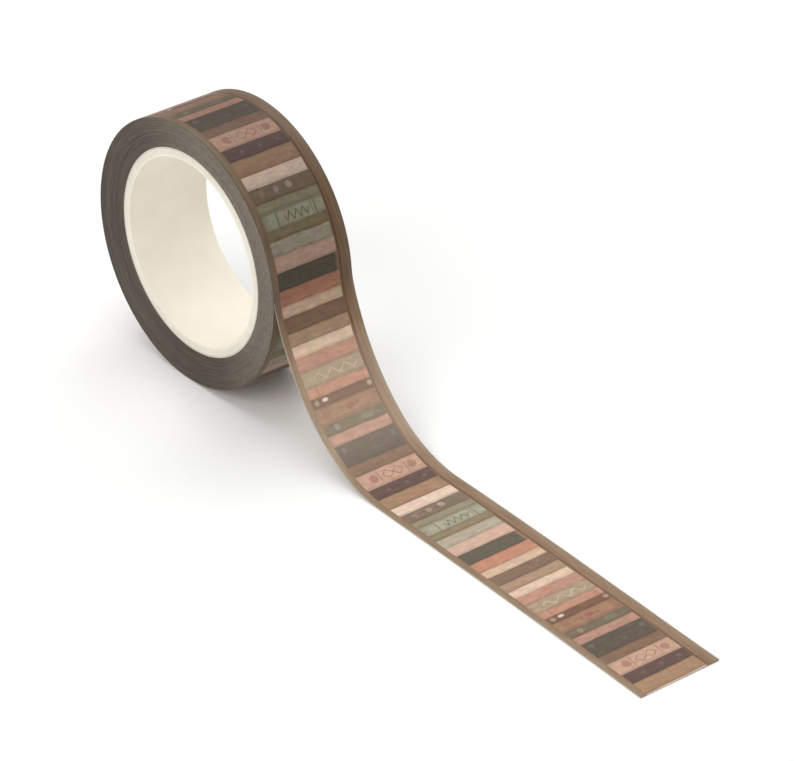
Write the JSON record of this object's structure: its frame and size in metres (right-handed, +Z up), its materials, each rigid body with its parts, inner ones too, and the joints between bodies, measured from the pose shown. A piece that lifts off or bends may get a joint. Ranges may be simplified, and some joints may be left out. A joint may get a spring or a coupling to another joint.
{
  "type": "roll of masking tape",
  "caption": "Narrow roll of paper masking tape on a card core, standing on its rim with a length pulled off flat in front of it.",
  "frame": {"origin": "on the axis of the core's bore, halfway along the outermost lap of tape", "axes": "+Y along the bore, away from the face that the laps have slipped towards; +X from the roll to the cut end of the tail; +Z up, with the table at z = -22.04 mm"},
  "size_m": [0.1298, 0.0158, 0.044],
  "materials": {
    "core_paper": "matte",
    "core_board": "matte",
    "tape_edges": "matte",
    "printed_paper": "satin",
    "adhesive": "matte"
  },
  "bodies": {
    "tail": {"tail_paper": "printed_paper", "tail_adhesive": "adhesive"},
    "roll": {"core_liner": "core_paper", "board_ply_1": "core_board", "board_ply_2": "core_board", "board_ply_3": "core_board", "core_wrap": "core_paper", "wound_tape": "tape_edges", "outer_lap": "printed_paper"}
  },
  "joints": [
    {"name": "roll_turn", "type": "hinge", "parent": "tail", "child": "roll", "pos_m": [0, 0, 0], "axis": [0, 1, 0], "continuous": true}
  ]
}
